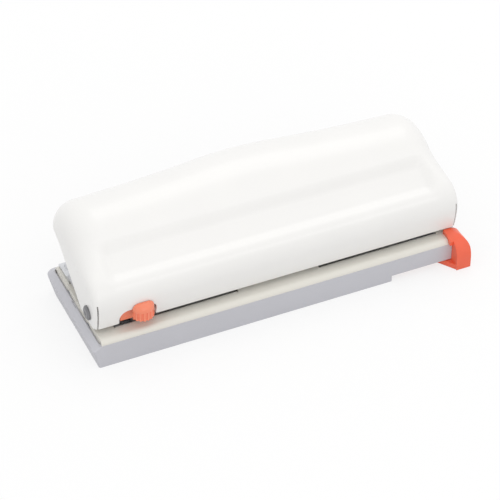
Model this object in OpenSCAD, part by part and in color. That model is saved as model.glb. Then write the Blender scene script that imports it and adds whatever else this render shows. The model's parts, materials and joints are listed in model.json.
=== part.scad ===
// Adjustable six hole punch for ring planners: a pressed steel lever with a drawn recess, two three-pin
// punch heads geared to spread together, a chip tray, and a paper guide that slides out of the base.
// X runs along the front edge, Y goes back, Z is up. The pieces are drawn with Y measured from the tray's
// front face, and place() centres the whole box on the origin.

/* [Overall] */
// Length over the tray's rim
length = 185; // [182:0.5:215]
// Depth from the paper guide's front to the back of the lever
depth = 73; // [71:0.5:80]
// Height of the lever's crest
height = 57; // [55:0.5:62]

/* [Tray] */
// Depth of the tray over its rim
tray_depth = 62.6; // [61:0.2:64]
// Height of the tray's front wall
tray_height = 11.8; // [11.2:0.1:12.2]
// Thickness of the tray's front wall
tray_wall = 2; // [1.2:0.1:2.4]
// Thickness of the tray's floor
tray_floor = 1.6; // [1:0.1:2]
// How far the end and back walls lean out
tray_flare = 2.15; // [0.5:0.05:2.4]
// Width of the sloping rim at the ends and back
rim_width = 3; // [2.4:0.1:3.4]
// Height of the sloping rim
rim_drop = 2.1; // [1:0.1:3]
// Corner radius at the back of the tray
tray_corner = 5; // [3.6:0.2:7]

/* [Base plate] */
// Thickness of the base plate's sheet
sheet = 1.2; // [0.8:0.1:1.5]
// Height of the deck that the paper slides on
deck_top = 14.2; // [13.9:0.1:14.6]
// Height of the paper slot
throat = 2.6; // [2:0.1:3]

/* [Handle] */
// Thickness of the handle's sheet
skin = 1.2; // [0.8:0.1:1.4]
// How far the handle's ends stay inside the tray's rim
handle_inset = 2.86; // [2.6:0.05:3.4]
// Distance of the handle's front face behind the tray's front
lip_y = 5.16; // [4.6:0.1:5.6]
// Height of the handle's lower front edge
lip_z = 17; // [16.8:0.1:17.3]
// Slope of the handle's upper face in degrees
slope_angle = 30.5; // [28:0.5:33]
// Height of the crest above the point where the slope would meet the tray's front plane
crest_rise = 23; // [22:0.25:24]
// Radius from the front face into the slope
brow_r = 7.4; // [6:0.2:9]
// Radius at the back edge
tail_r = 12; // [9:0.5:13]
// Height of the crest above the back edge
tail_drop = 16; // [14:0.5:17]
// Bend radius of the front corners
corner_front_r = 2.6; // [2.2:0.1:3.2]
// Bend radius of the back corners
corner_back_r = 14.3; // [11:0.5:16]
// How much further down the slope the ends of the crest lie
crest_fall = 5.4; // [2:0.2:7]
// Distance from the middle at which half of that fall is reached
crest_half_x = 43; // [36:1:60]
// Depth of the drawn recess
recess_depth = 2; // [1:0.1:2.4]
// Length of the drawn recess
recess_len = 160; // [120:1:164]
// Width of the recess, measured up the slope
recess_w = 17; // [14:0.5:19]
// Corner radius of the recess
recess_r = 6; // [3:0.5:7]

/* [Lever mechanism] */
// Distance of the pivot behind the tray's front
pivot_y = 12.8; // [12.4:0.1:13.4]
// Height of the pivot
pivot_z = 22; // [21.6:0.1:22.4]
// Pivot pin radius
pivot_r = 2; // [1.5:0.1:2.2]
// Greatest swing of the lever in degrees
swing = 17.5; // [14:0.5:18]
// Thickness of the pivot brackets
bracket_t = 1.6; // [1.2:0.1:2]
// Thickness of the press frame's arms
arm_t = 1.5; // [1.2:0.1:1.8]
// Radius of the bar that presses on the punch pins
nose_r = 2; // [1.6:0.1:2.2]
// Height of that bar
nose_z = 38; // [37:0.25:39]

/* [Punch heads] */
// Distance between neighbouring holes of a group
pin_pitch = 19; // [18.5:0.1:19.5]
// Middle distance of the small page setting
mid_small = 51; // [49:0.5:52]
// Middle distance of the large page setting
mid_large = 70; // [66:0.5:72]
// Distance of the holes behind the tray's front
pin_y = 30.5; // [29.5:0.25:31.5]
// Distance from hole centre to the edge of the page
hole_margin = 6; // [5:0.25:6.5]
// Punch pin radius
pin_r = 2.75; // [2.25:0.05:2.9]
// Height of the arm that guides the pins
guide_arm_h = 5.9; // [4:0.1:6.5]
// Spring wire diameter
wire_d = 0.6; // [0.5:0.05:0.65]
// Turns of each spring
spring_turns = 5; // [4:1:6]
// Radius of the rods that the heads slide on
rod_r = 2; // [1.5:0.1:2.2]

/* [Gearing] */
// Gear module
gear_m = 1; // [0.95:0.05:1.05]
// Teeth on the pinion
gear_teeth = 12; // [11:1:12]
// Thickness of the racks and pinion
rack_h = 3.1; // [2.4:0.1:3.2]

/* [Size selector] */
// Width of the knob
knob_w = 10.3; // [9:0.1:11]
// Height of the knob
knob_h = 8; // [7:0.25:9]
// Grooves on the knob
knob_grooves = 7; // [5:1:7]

/* [Paper guide] */
// How far the guide stands in front of the tray
guide_reach = 5.7; // [4.5:0.1:7]
// Thickness of the guide's end along the tray
guide_w = 7.3; // [6:0.1:9]
// Travel of the guide
guide_travel = 19.5; // [10:0.5:22]

/* [Hidden] */
$fn = 64;

// Clearances
run = 0.05;
seat_gap = 0.1;
side_gap = 0.4;
eps = 0.01;

// Colours
white_paint = [0.95, 0.95, 0.93];
base_paint = [0.90, 0.89, 0.86];
lavender = [0.76, 0.76, 0.82];
orange = [0.95, 0.42, 0.28];
steel = [0.66, 0.67, 0.69];
dark_steel = [0.42, 0.42, 0.44];
cast_grey = [0.55, 0.56, 0.58];

// Tray
tray_half = length / 2;
rim_land = 0.3;
tray_draft = 0.6;
tray_front_r = 1;
inner_half = tray_half - rim_width - rim_land;
inner_back = tray_depth - rim_width - rim_land;
floor_half = inner_half - tray_draft;
floor_back = inner_back - tray_draft;

// Base plate
base_half = floor_half - seat_gap;
base_back = floor_back - seat_gap;
base_front = 0.3;
deck_bend = deck_top - tray_height;
flange_z = 5;
back_flange_z = 8;

// Handle, lever pieces and brackets across the ends
handle_half = tray_half - handle_inset;
handle_inner = handle_half - skin;
bracket_out = handle_inner - 1.1;
bracket_in = bracket_out - bracket_t;
arm_out = bracket_in - side_gap;
arm_in = arm_out - arm_t;
eye_r = pivot_r + 2;
foot_w = 6.6;
foot_y0 = 44.5;
foot_y1 = 57;
foot_t = 1.6;
rivet_r = 1.5;

// Punch heads
travel = (mid_large - mid_small) / 2;
head_in = mid_small / 2 - 5.1;
head_out = mid_small / 2 + 2 * pin_pitch + 6;
pin_x = [for (k = [0:2]) mid_small / 2 + k * pin_pitch];
arm_bottom = deck_top + throat;
guide_top = arm_bottom + guide_arm_h;
guide_front = pin_y - 5;
stop_y = pin_y + hole_margin;
head_back = stop_y + 8.5;
rod_z = 10.4;
rod_front_y = 16.5;
rod_back_y = stop_y + 4.5;
rack_z = 4.2;
die_bottom = rack_z + rack_h;
die_top = deck_top - 0.2;
die_front = rod_front_y - 4.5;
window_in = head_in - side_gap;
window_out = head_out + travel + 1;
window_front = 7;
window_r = 0.8;
window_back = head_back + 0.6;

// Press bar and pins
nose_y = pin_y - 2;
stroke = (nose_z - pivot_z) * (1 - cos(swing)) + (nose_y - pivot_y) * sin(swing);
bar_gap = 0.3;
pin_top = nose_z - nose_r - bar_gap;
pin_head_t = 2;
pin_head_r = pin_r + 1.45;
pin_tip = arm_bottom + 0.2;
spring_r = pin_r + wire_d;
spring_z0 = guide_top;
spring_z1 = pin_top - pin_head_t - 0.25;

// Racks and pinion
gear_y = 28.5;
gear_r = gear_m * gear_teeth / 2;
gear_angle = 25;
gear_add = 0.8 * gear_m;
gear_ded = 1.1 * gear_m;
gear_lash = 0.12;
rack_back = 2.2;
rack_teeth = 7;
stud_r = 2;

// Size selector
knob_x = head_out - 2.3;
knob_back = 3.6;
knob_z = 23.2;
knob_axis_y = knob_back + 1.6;
knob_r = norm([knob_w / 2, knob_axis_y - knob_back]);
stem_w = 4;
stem_z0 = arm_bottom + 2.6;
stem_z1 = stem_z0 + 2.4;
notch_play = 1.4;
notch_right = 2.6;
notch_h = 7.2;
plate_y = lip_y + skin + 0.7;
plate_t = 1.2;
strap_t = 1.6;
strap_z = arm_bottom + 0.3;

// Paper guide
guide_gap = 0.2;
tongue_t = 2.5;
tongue_z = 0.25;
tongue_front = 3.6;
tongue_back = 23.2;
guide_x1 = tray_half - 0.7;
guide_x0 = guide_x1 - guide_w;
tongue_hold = 7.9;
tongue_len = guide_travel + tongue_hold;
pocket_z = tongue_z + tongue_t + 0.4;
pocket_x = guide_x0 - tongue_len - 3.4;
arm_shift = 1.8;

module place() {
    translate([0, guide_reach - depth / 2, 0]) children();
}

// Draws a section given in Y and Z and pulls it along X from x0 to x1
module along_x(x0, x1) {
    translate([x0, 0, 0]) rotate([90, 0, 90]) linear_extrude(x1 - x0) children();
}

// A round bar or bore along X
module rod_x(y, z, r, x0, x1) {
    translate([x0, y, z]) rotate([0, 90, 0]) cylinder(r = r, h = x1 - x0);
}

// A flat strip of thickness t between two points of a section
module strip(a, b, t) {
    run_vec = b - a;
    translate(a) rotate(atan2(run_vec[1], run_vec[0])) translate([0, -t / 2]) square([norm(run_vec), t]);
}

// A rectangle with round corners, between two opposite corners
module round_rect(p, q, r) {
    translate([p[0] + r, p[1]]) square([q[0] - p[0] - 2 * r, q[1] - p[1]]);
    translate([p[0], p[1] + r]) square([q[0] - p[0], q[1] - p[1] - 2 * r]);
    for (x = [p[0] + r, q[0] - r])
        for (y = [p[1] + r, q[1] - r])
            translate([x, y]) circle(r);
}

// Mirrors its children to the left for side -1
module sided(side) {
    if (side < 0) mirror([1, 0, 0]) children();
    else children();
}

// Tray

// One outline of the tray at height z, with small front corners and large back corners
function tray_ring(half, y0, y1, rf, rb, z) = concat(
    [for (k = [0:3]) let (a = 180 + 30 * k) [-half + rf + rf * cos(a), y0 + rf + rf * sin(a), z]],
    [for (k = [0:3]) let (a = 270 + 30 * k) [half - rf + rf * cos(a), y0 + rf + rf * sin(a), z]],
    [for (k = [0:6]) let (a = 15 * k) [half - rb + rb * cos(a), y1 - rb + rb * sin(a), z]],
    [for (k = [0:6]) let (a = 90 + 15 * k) [-half + rb + rb * cos(a), y1 - rb + rb * sin(a), z]]);

// A closed solid through a list of rings that have the same number of points
module ring_loft(rings) {
    n = len(rings[0]);
    last = len(rings) - 1;
    points = [for (ring = rings) for (p = ring) p];
    sides = [for (k = [0:last - 1]) for (i = [0:n - 1]) let (j = (i + 1) % n)
        each [[k * n + i, (k + 1) * n + i, k * n + j], [k * n + j, (k + 1) * n + i, (k + 1) * n + j]]];
    first_cap = [for (i = [0:n - 1]) i];
    last_cap = [for (i = [n - 1:-1:0]) last * n + i];
    polyhedron(points, concat([first_cap], sides, [last_cap]), convexity = 6);
}

module chip_tray() {
    inner_rb = tray_corner - rim_width + rim_land;
    snap_y = 29.2;
    snap_w = 5.5;
    color(lavender) place() difference() {
        union() {
            ring_loft([
                tray_ring(tray_half - tray_flare, 0, tray_depth - tray_flare, tray_front_r, tray_corner, 0),
                tray_ring(tray_half, 0, tray_depth, tray_front_r, tray_corner, tray_height - rim_drop),
                tray_ring(inner_half + rim_land, 0, inner_back + rim_land, tray_front_r,
                    inner_rb + rim_land, tray_height),
                tray_ring(inner_half, tray_wall, inner_back, tray_front_r, inner_rb, tray_height),
                tray_ring(floor_half, tray_wall, floor_back, tray_front_r, inner_rb, tray_floor)]);
            translate([pocket_x - tray_floor, tray_wall - eps, tray_floor - eps])
                cube([floor_half - pocket_x + tray_floor,
                    tongue_back + 2 * guide_gap + tray_floor - tray_wall, pocket_z]);
        }
        translate([pocket_x, -1, -1])
            cube([tray_half - pocket_x + 1, tongue_back + guide_gap + 1, pocket_z + 1]);
        for (s = [-1, 1])
            translate([s * inner_half - 0.5, snap_y, tray_height - 1.5]) cube([1, snap_w, 2]);
    }
}

// Base plate

module base_section() {
    r = deck_bend;
    for (side = [0, 1]) {
        cy = side == 0 ? base_front + r : base_back - r;
        intersection() {
            difference() {
                translate([cy, deck_top - r]) circle(r);
                translate([cy, deck_top - r]) circle(r - sheet);
            }
            translate([side == 0 ? base_front : cy, deck_top - r]) square([r, r]);
        }
    }
    translate([base_front + r, deck_top - sheet]) square([base_back - base_front - 2 * r, sheet]);
    translate([base_back - sheet, back_flange_z]) square([sheet, deck_top - r - back_flange_z]);
}

module base_plate() {
    color(base_paint) place() difference() {
        union() {
            along_x(-base_half, base_half) base_section();
            for (s = [-1, 1])
                sided(s) translate([base_half - sheet, base_front + deck_bend, flange_z])
                    cube([sheet, base_back - base_front - 2 * deck_bend, deck_top - flange_z - sheet / 2]);
        }
        for (s = [-1, 1]) {
            sided(s) translate([0, 0, deck_top - 2 * sheet]) linear_extrude(3 * sheet)
                round_rect([window_in, window_front], [window_out, window_back], window_r);
            for (y = [rod_front_y, rod_back_y])
                sided(s) rod_x(y, rod_z, rod_r + run, base_half - 2 * sheet, base_half + 1);
            for (p = rivet_places())
                sided(s) translate([p[0], p[1], 0]) cylinder(r = rivet_r + run, h = 2 * deck_top);
        }
        translate([0, gear_y, 0]) cylinder(r = stud_r - 0.5 + run, h = 2 * deck_top);
    }
}

// Brackets and their rivets

function rivet_places() = [for (t = [0.25, 0.75])
    [bracket_in - foot_w / 2 + 0.6, foot_y0 + t * (foot_y1 - foot_y0)]];

module bracket_plate() {
    along_x(bracket_in, bracket_out) difference() {
        union() {
            polygon([[foot_y0 - 1, deck_top], [foot_y1, deck_top], [foot_y1, deck_top + foot_t],
                [foot_y0 + 2.5, deck_top + foot_t], [foot_y0 - 7.5, pivot_z + eye_r],
                [pivot_y, pivot_z + eye_r], [pivot_y, arm_bottom + 0.2], [pivot_y + 1, arm_bottom],
                [foot_y0 - 1, arm_bottom]]);
            translate([pivot_y, pivot_z]) circle(eye_r);
        }
        translate([pivot_y, pivot_z]) circle(pivot_r + run / 2);
    }
}

module bracket(side) {
    color(steel) place() sided(side) difference() {
        union() {
            bracket_plate();
            translate([bracket_in - foot_w, foot_y0, deck_top])
                cube([foot_w + eps, foot_y1 - foot_y0, foot_t]);
            translate([arm_in + 0.2, pivot_y - 2.3, arm_bottom])
                cube([bracket_in - arm_in, 2.3, pivot_z - eye_r - bar_gap - arm_bottom]);
        }
        for (p = rivet_places())
            translate([p[0], p[1], 0]) cylinder(r = rivet_r + run, h = 2 * deck_top);
    }
}

module bracket_left() {
    bracket(-1);
}

module bracket_right() {
    bracket(1);
}

module bracket_rivets() {
    head_r = 2.6;
    color(steel) place() for (s = [-1, 1]) for (p = rivet_places()) {
        top = deck_top + foot_t;
        sided(s) translate([p[0], p[1], 0]) rotate_extrude()
            polygon([[0, deck_top - sheet - 0.8], [head_r - 0.3, deck_top - sheet - 0.8],
                [head_r - 0.3, deck_top - sheet], [rivet_r, deck_top - sheet],
                [rivet_r, top], [head_r, top], [head_r - 0.4, top + 0.7],
                [head_r - 1.2, top + 1.1], [0, top + 1.2]]);
    }
}

// Guide rods

module guide_rod(y) {
    color(steel) place() rod_x(y, rod_z, rod_r, -base_half, base_half);
}

module guide_rod_front() {
    guide_rod(rod_front_y);
}

module guide_rod_back() {
    guide_rod(rod_back_y);
}

module rod_clips() {
    clip_t = 0.8;
    clip_r = deck_top - sheet - rod_z - seat_gap;
    clip_x = base_half - sheet - clip_t - seat_gap;
    color(dark_steel) place() for (s = [-1, 1]) for (y = [rod_front_y, rod_back_y])
        sided(s) difference() {
            rod_x(y, rod_z, clip_r, clip_x, clip_x + clip_t);
            rod_x(y, rod_z, rod_r + run / 2, clip_x - 1, clip_x + clip_t + 1);
        }
}

// Pivot pins

module pivot_pin(side) {
    head_r = pivot_r + 1.4;
    head_t = 1.3;
    head_x = handle_half + seat_gap;
    tail_x = arm_in - 1.3;
    color(dark_steel) place() sided(side)
        translate([0, pivot_y, pivot_z]) rotate([0, 90, 0]) rotate_extrude()
        polygon([[0, tail_x], [pivot_r - 0.3, tail_x], [pivot_r, tail_x + 0.3], [pivot_r, head_x],
            [head_r, head_x], [head_r, head_x + 0.5 * head_t], [head_r - 0.9, head_x + head_t],
            [1, head_x + head_t], [0.7, head_x + head_t - 0.4], [0, head_x + head_t - 0.4]]);
}

module pivot_pin_left() {
    pivot_pin(-1);
}

module pivot_pin_right() {
    pivot_pin(1);
}

module pivot_clips() {
    clip_t = 0.6;
    color(dark_steel) place() for (s = [-1, 1]) sided(s) difference() {
        rod_x(pivot_y, pivot_z, pivot_r + 1.5, arm_in - 0.2 - clip_t, arm_in - 0.2);
        rod_x(pivot_y, pivot_z, pivot_r + run / 2, arm_in - 2, arm_in + 1);
    }
}

// Handle shell: a sheet lofted along its section, with a bend at each end and a drawn recess

slope_m = tan(slope_angle);
slope_z = height - crest_rise;
tail_z = height - tail_drop;
handle_back = depth - guide_reach;
brow_z = slope_z + slope_m * lip_y - brow_r * tan((90 - slope_angle) / 2);
// The crest arc touches the slope and the crest height, and runs into the tail arc
crest_a = (height - slope_z) / slope_m;
crest_b = (1 / cos(slope_angle) - 1) / slope_m;
tail_y = handle_back - tail_r;
gap_y = tail_y - crest_a;
gap_z = tail_z - height;
quad_a = crest_b * crest_b;
quad_b = 2 * (gap_z + tail_r - gap_y * crest_b);
quad_c = gap_y * gap_y + gap_z * gap_z - tail_r * tail_r;
crest_r = (-quad_b - sqrt(quad_b * quad_b - 4 * quad_a * quad_c)) / (2 * quad_a);
crest_y = crest_a + crest_b * crest_r;
crest_z = height - crest_r;
crest_end = atan2(tail_z - crest_z, tail_y - crest_y);
slope_n = [-sin(slope_angle), cos(slope_angle)];
slope_start = [lip_y + brow_r, brow_z] + brow_r * slope_n;
slope_end = [crest_y, crest_z] + crest_r * slope_n;
slope_len = norm(slope_end - slope_start);
crest_start = 90 + slope_angle;
brow_share = 0.3;

// How the radius of the end bends grows up the front and shrinks again over the crest
corner_tail_r = min(corner_back_r, tail_r - 0.5);
function smooth(t) = let (c = min(max(t, 0), 1)) c * c * (3 - 2 * c);
function rising_r(t) = corner_front_r + (corner_back_r - corner_front_r) * smooth(t);
function crest_bend_r(t) = corner_back_r + (corner_tail_r - corner_back_r) * smooth(t);

// Section points as [y, z, normal y, normal z, radius of the end bend, share of the fall, slope run]
brow_steps = 5;
slope_steps = 16;
crest_steps = 7;
tail_steps = 4;
section = concat(
    [for (k = [0:brow_steps - 1]) let (t = k / brow_steps, a = 180 - t * (90 - slope_angle))
        concat([lip_y + brow_r, brow_z] + brow_r * [cos(a), sin(a)],
            [cos(a), sin(a), rising_r(brow_share * t), 0, (t - 1) * brow_r])],
    [for (k = [0:slope_steps - 1]) let (t = k / slope_steps)
        concat(slope_start + t * (slope_end - slope_start),
            slope_n, [rising_r(brow_share + (1 - brow_share) * t), t, t * slope_len])],
    [for (k = [0:crest_steps - 1])
        let (t = k / crest_steps, a = crest_start + t * (crest_end - crest_start))
        concat([crest_y, crest_z] + crest_r * [cos(a), sin(a)],
            [cos(a), sin(a), crest_bend_r(t), 1, slope_len + t * crest_r])],
    [for (k = [0:tail_steps]) let (t = k / tail_steps, a = crest_end * (1 - t))
        concat([tail_y, tail_z] + tail_r * [cos(a), sin(a)],
            [cos(a), sin(a), corner_tail_r, 1, slope_len + crest_r + t * tail_r])]);
rows = len(section);

// The columns run from the left bend, over the top, to the right bend.
// Each is [share of the top's half width, side, angle round the bend].
bend_steps = 5;
top_steps = 25;
columns = concat(
    [for (k = [0:bend_steps - 1]) [-1, -1, 90 * (1 - k / bend_steps)]],
    [for (k = [0:top_steps]) [sin(90 * (2 * k / top_steps - 1)), 0, 0]],
    [for (k = [1:bend_steps]) [1, 1, 90 * k / bend_steps]]);
right_edge = [1, 1, 90];

function fall(x) = crest_fall * (1 - 1 / (1 + pow(abs(x) / crest_half_x, 2)));

// How deep the recess is at x and at a run up the slope
recess_soft = 3.2;
function recess(x, up) = let (
    qx = abs(x) - recess_len / 2 + recess_r,
    qy = abs(up - recess_w / 2) - recess_w / 2 + recess_r,
    out = norm([max(qx, 0), max(qy, 0)]) + min(max(qx, qy), 0) - recess_r)
    recess_depth * smooth(-out / recess_soft);

// A point of the shell at row i and column c, off millimetres inside its outer face
function shell_point(i, c, off) = let (
    s = section[i],
    n = [s[2], s[3]],
    r = s[4],
    flat_x = (handle_half - r) * c[0],
    x = flat_x + c[1] * r * sin(c[2]),
    drop = -fall(x) * s[5] * [cos(slope_angle), sin(slope_angle)],
    p = [s[0], s[1]] + drop - recess(x, s[6] - fall(x) * s[5]) * n,
    yz = p - (r - (r - off) * cos(c[2])) * n)
    [flat_x + c[1] * (r - off) * sin(c[2]), yz[0], yz[1]];

module shell_loft() {
    m = len(columns);
    size = rows * m;
    points = concat(
        [for (i = [0:rows - 1]) for (c = columns) shell_point(i, c, 0)],
        [for (i = [0:rows - 1]) for (c = columns) shell_point(i, c, skin)]);
    // The diagonals mirror about the middle, so that both halves are alike
    skins = [for (i = [0:rows - 2]) for (j = [0:m - 2]) let (a = i * m + j, b = a + m)
        each 2 * j < m - 1
            ? [[a, b, b + 1], [a, b + 1, a + 1], [size + a, size + b + 1, size + b],
                [size + a, size + a + 1, size + b + 1]]
            : [[a, b, a + 1], [a + 1, b, b + 1], [size + a, size + a + 1, size + b],
                [size + a + 1, size + b + 1, size + b]]];
    low_high = [for (j = [0:m - 2]) let (a = j, b = (rows - 1) * m + j)
        each [[a, a + 1, size + a], [a + 1, size + a + 1, size + a],
            [b, size + b, b + 1], [b + 1, size + b, size + b + 1]]];
    ends = [for (i = [0:rows - 2]) let (a = i * m, b = a + m - 1)
        each [[a, size + a, a + m], [a + m, size + a, size + a + m],
            [b, b + m, size + b], [b + m, size + b + m, size + b]]];
    polyhedron(points, concat(skins, low_high, ends), convexity = 10);
}

// The upright front below the brow, on the same points as the loft's first row
module front_strip() {
    outer = [for (c = columns) let (p = shell_point(0, c, 0)) [p[0], p[1]]];
    inner = [for (k = [len(columns) - 1:-1:0]) let (p = shell_point(0, columns[k], skin)) [p[0], p[1]]];
    translate([0, 0, lip_z]) linear_extrude(brow_z - lip_z) polygon(concat(outer, inner));
}

// The flat right end: its lower edge is level under the pivot and then rises to the back corner
module end_plate() {
    edge_mid = [22, lip_z];
    edge_back = [46.5, tail_z - 5];
    along_x(handle_inner, handle_half) polygon(concat([[lip_y + corner_front_r, lip_z]],
        [for (i = [0:rows - 1]) let (p = shell_point(i, right_edge, 0)) [p[1], p[2]]],
        [edge_back, edge_mid]));
}

// The open notch in the front skin that the selector's stem passes through
module notch_section() {
    x0 = -(knob_x + travel + notch_play);
    x1 = -(knob_x - stem_w - notch_right);
    big = 4.5;
    small = 2.5;
    low = lip_z - 2;
    top = lip_z + notch_h;
    polygon([[x0, low], [x0, top - big], [x0 + big, top], [x1 - small, top], [x1, top - small], [x1, low]]);
    translate([x0 + big, top - big]) circle(big);
    translate([x1 - small, top - small]) circle(small);
}

module handle_shell() {
    seam_w = 0.6;
    seam_h = 12;
    color(white_paint) place() difference() {
        union() {
            shell_loft();
            front_strip();
            for (s = [-1, 1]) sided(s) end_plate();
        }
        for (s = [-1, 1]) {
            sided(s) rod_x(pivot_y, pivot_z, pivot_r + run, handle_inner - 1, handle_half + 1);
            sided(s) translate([handle_inner - 0.15 - seam_w, lip_y - 2, lip_z - 1])
                cube([seam_w, corner_front_r + 1.6, seam_h + 1]);
        }
        translate([0, lip_y + 2 * skin, 0]) rotate([90, 0, 0]) linear_extrude(4 * skin) notch_section();
    }
}

// Press frame: arms on the pivot pins, a pad under the recess and a rounded bar over the punch pins

pad_gap = 0.45;
function pad_point(up, off) = slope_start + up * [cos(slope_angle), sin(slope_angle)] - off * slope_n;

module press_frame() {
    pad_t = 1.5;
    off = recess_depth + skin + pad_gap + pad_t / 2;
    pad_a = pad_point(3.6, off);
    pad_b = pad_point(recess_w - 6, off);
    nose = [nose_y, nose_z];
    color(steel) place() difference() {
        union() {
            along_x(-arm_out, arm_out) {
                strip(pad_a, pad_b, pad_t);
                translate(pad_b) circle(pad_t / 2);
                strip(pad_b, nose, pad_t);
                translate(nose) circle(nose_r);
            }
            for (s = [-1, 1]) sided(s) along_x(arm_in, arm_out) {
                translate([pivot_y, pivot_z]) circle(eye_r);
                polygon([[pivot_y - 2.1, pivot_z - eye_r], [pivot_y, pivot_z - eye_r],
                    [pivot_y + eye_r, pivot_z], nose + [0.9, -1.2], nose, pad_b, pad_a,
                    [pivot_y - eye_r, pivot_z], [pivot_y - 2.1, pivot_z - 2]]);
            }
        }
        for (s = [-1, 1]) sided(s) rod_x(pivot_y, pivot_z, pivot_r + run, arm_in - 1, arm_out + 1);
    }
}

// Punch heads

module head_section() {
    fillet = 1.2;
    difference() {
        union() {
            round_rect([die_front, die_bottom], [head_back, die_top], fillet);
            round_rect([guide_front, arm_bottom], [head_back, guide_top], fillet);
            translate([stop_y, die_bottom + fillet])
                square([head_back - stop_y, guide_top - die_bottom - 2 * fillet]);
        }
        for (y = [rod_front_y, rod_back_y]) translate([y, rod_z]) circle(rod_r + run);
    }
}

// One head drawn on the right side, with bores for the pins, the racks' screws and the selector's screws
module punch_head(side) {
    relief_r = pin_r + 0.6;
    color(cast_grey) place() sided(side) difference() {
        along_x(head_in, head_out) head_section();
        for (x = pin_x) translate([x, pin_y, 0]) {
            translate([0, 0, die_bottom - 1]) cylinder(r = pin_r + run, h = guide_top);
            translate([0, 0, die_bottom - 1]) cylinder(r = relief_r, h = 1 + (die_top - die_bottom) / 2);
        }
        for (p = rack_screw_places(side))
            translate([p[0], p[1], die_bottom - 1]) cylinder(r = screw_r + run, h = screw_len);
        if (side < 0)
            for (p = selector_screw_places())
                translate([p[0], guide_front - strap_t, p[1]]) rotate([-90, 0, 0])
                    cylinder(r = screw_r + run, h = strap_screw_len + 0.2);
    }
}

module punch_head_left() {
    punch_head(-1);
}

module punch_head_right() {
    punch_head(1);
}

// Racks and pinion

screw_r = 1;
screw_len = 5;
// The rack of the left head runs in front of the pinion, the right one behind it
function rack_line(side) = gear_y + side * gear_r;
function rack_screw_places(side) = [for (k = [0, 1])
    [head_in + 3 + 6 * k, rack_line(side) + side * (gear_ded + rack_back / 2)]];

// A straight rack drawn on the right side with its teeth towards the pinion
module rack(side) {
    pitch = PI * gear_m;
    flank = tan(gear_angle);
    half = pitch / 4 - gear_lash / 2;
    root = gear_ded;
    color(steel) place() sided(side) difference() {
        translate([0, rack_line(side), rack_z]) mirror([0, side < 0 ? 1 : 0, 0]) linear_extrude(rack_h) {
            translate([-rack_teeth * pitch + pitch * 2.5, root])
                square([head_in + 12 + rack_teeth * pitch - pitch * 2.5, rack_back]);
            for (k = [0:rack_teeth - 1]) translate([(2 - k) * pitch, 0])
                polygon([[-half - root * flank, root + eps], [-half + gear_add * flank, -gear_add],
                    [half - gear_add * flank, -gear_add], [half + root * flank, root + eps]]);
        }
        for (p = rack_screw_places(side))
            translate([p[0], p[1], rack_z - 1]) cylinder(r = screw_r + run, h = rack_h + 2);
    }
}

module rack_left() {
    rack(-1);
}

module rack_right() {
    rack(1);
}

module rack_screws(side) {
    head_r = 1.9;
    head_t = 0.9;
    color(dark_steel) place() sided(side) for (p = rack_screw_places(side)) translate([p[0], p[1], 0]) {
        translate([0, 0, rack_z - head_t]) cylinder(r = head_r, h = head_t);
        translate([0, 0, rack_z - eps]) cylinder(r = screw_r, h = rack_h + screw_len - 2);
    }
}

module rack_screws_left() {
    rack_screws(-1);
}

module rack_screws_right() {
    rack_screws(1);
}

// Involute tooth flanks: the half angle of a tooth at radius r
gear_base = gear_r * cos(gear_angle);
function involute(a) = tan(a) * 180 / PI - a;
function tooth_half(r) = 90 / gear_teeth - gear_lash / (2 * gear_r) * 180 / PI + involute(gear_angle)
    - involute(acos(min(1, gear_base / r)));
flank_steps = 5;
flank_r = [for (k = [0:flank_steps]) gear_base + (gear_r + gear_add - gear_base) * k / flank_steps];
gear_root = gear_r - gear_ded - 0.05;

module pinion() {
    step = 360 / gear_teeth;
    outline = [for (k = [0:gear_teeth - 1]) let (mid = -90 + step * (k + 0.5)) each concat(
        [let (a = mid - tooth_half(gear_base)) gear_root * [cos(a), sin(a)]],
        [for (r = flank_r) let (a = mid - tooth_half(r)) r * [cos(a), sin(a)]],
        [for (j = [flank_steps:-1:0]) let (r = flank_r[j], a = mid + tooth_half(r)) r * [cos(a), sin(a)]],
        [let (a = mid + tooth_half(gear_base)) gear_root * [cos(a), sin(a)]])];
    color(steel) place() translate([0, gear_y, rack_z]) linear_extrude(rack_h - seat_gap) difference() {
        polygon(outline);
        circle(stud_r + run);
    }
}

module pinion_stud() {
    color(dark_steel) place() translate([0, gear_y, 0]) rotate_extrude()
        polygon([[0, rack_z - 1.4], [stud_r, rack_z - 1.4], [stud_r, die_bottom + 0.2],
            [stud_r + 1.2, die_bottom + 0.2], [stud_r + 1.2, deck_top - sheet],
            [stud_r - 0.5, deck_top - sheet], [stud_r - 0.5, deck_top], [0, deck_top]]);
}

module pinion_clip() {
    clip_t = 0.6;
    color(dark_steel) place() translate([0, gear_y, rack_z - 0.2 - clip_t]) difference() {
        cylinder(r = stud_r + 1.4, h = clip_t);
        translate([0, 0, -1]) cylinder(r = stud_r + run / 2, h = clip_t + 2);
    }
}

// Size selector: a grooved knob, its stem, a plate behind the handle's front and a strap to the left head

strap_x = [knob_x + 2, knob_x - 6.3];
strap_screw_z = strap_z + strap_t + 2;
// The strap's screws end short of the pin bores
strap_screw_len = strap_t + pin_y - pin_r - guide_front - 0.6;
function selector_screw_places() = [for (t = [0.25, 0.75])
    [strap_x[0] + t * (strap_x[1] - strap_x[0]), strap_screw_z]];

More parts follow.
